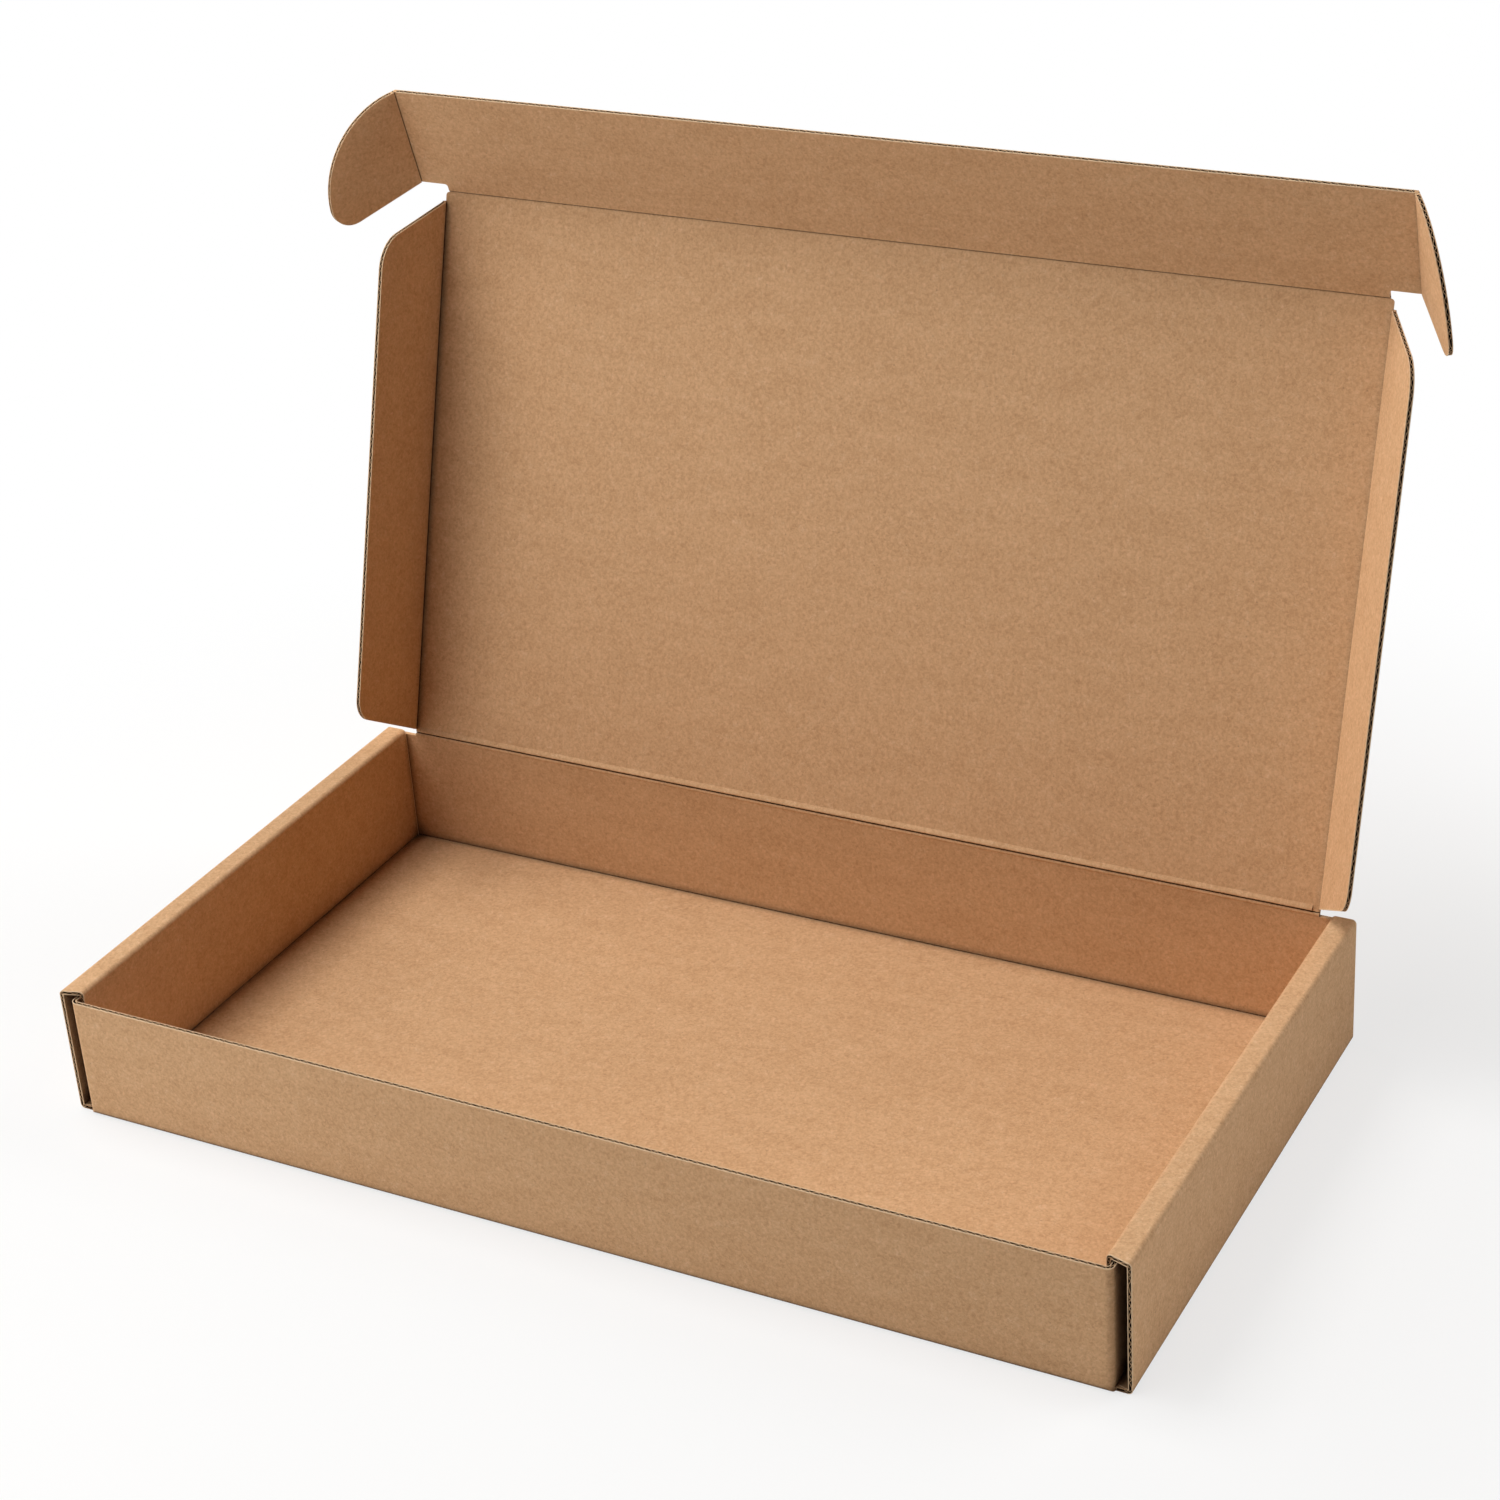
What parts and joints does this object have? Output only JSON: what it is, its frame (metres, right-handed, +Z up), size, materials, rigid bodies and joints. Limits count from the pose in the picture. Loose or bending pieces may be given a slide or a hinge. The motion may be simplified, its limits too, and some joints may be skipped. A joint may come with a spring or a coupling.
{
  "type": "flat mailer box",
  "caption": "Open die-cut corrugated mailer box with roll-over side walls, a hinged lid with tuck-in side flaps, and a front flap whose ears tuck into corner slots.",
  "frame": {"origin": "centre of the base's underside, which stands on the floor", "axes": "+Z up, -Y towards the open front wall, +X across the box to the right as seen from the front"},
  "size_m": [0.5074, 0.3245, 0.3456],
  "materials": {
    "kraft_board": "matt uncoated brown kraft"
  },
  "bodies": {
    "tray": {"tray": "kraft_board"},
    "lid": {"lid": "kraft_board"},
    "left_flap": {"left_flap": "kraft_board"},
    "right_flap": {"right_flap": "kraft_board"},
    "front_flap": {"front_flap": "kraft_board"},
    "left_ear": {"left_ear": "kraft_board"},
    "right_ear": {"right_ear": "kraft_board"}
  },
  "joints": [
    {"name": "lid_hinge", "type": "hinge", "parent": "tray", "child": "lid", "pos_m": [0, 0.1241, 0.0564], "axis": [-1, 0, 0], "range_deg": [-107.3, 72.7]},
    {"name": "left_flap_fold", "type": "hinge", "parent": "lid", "child": "left_flap", "pos_m": [-0.219, 0.1241, 0.0564], "axis": [0, -0.2974, -0.9548], "range_deg": [-4.4, 87.6]},
    {"name": "right_flap_fold", "type": "hinge", "parent": "lid", "child": "right_flap", "pos_m": [0.219, 0.1241, 0.0564], "axis": [0, 0.2974, 0.9548], "range_deg": [-66.63, 45.17]},
    {"name": "front_flap_fold", "type": "hinge", "parent": "lid", "child": "front_flap", "pos_m": [0, 0.19859, 0.29557], "axis": [-1, 0, 0], "range_deg": [-56, 34]},
    {"name": "left_ear_fold", "type": "hinge", "parent": "front_flap", "child": "left_ear", "pos_m": [-0.23085, 0.19859, 0.29557], "axis": [0, 0.2874, -0.9578], "range_deg": [-26, 64]},
    {"name": "right_ear_fold", "type": "hinge", "parent": "front_flap", "child": "right_ear", "pos_m": [0.23085, 0.19859, 0.29557], "axis": [0, -0.2874, 0.9578], "range_deg": [-30, 60]}
  ],
  "couplings": [
    {"joint": "right_flap_fold", "follows": "lid_hinge", "ratio": 0.62}
  ]
}
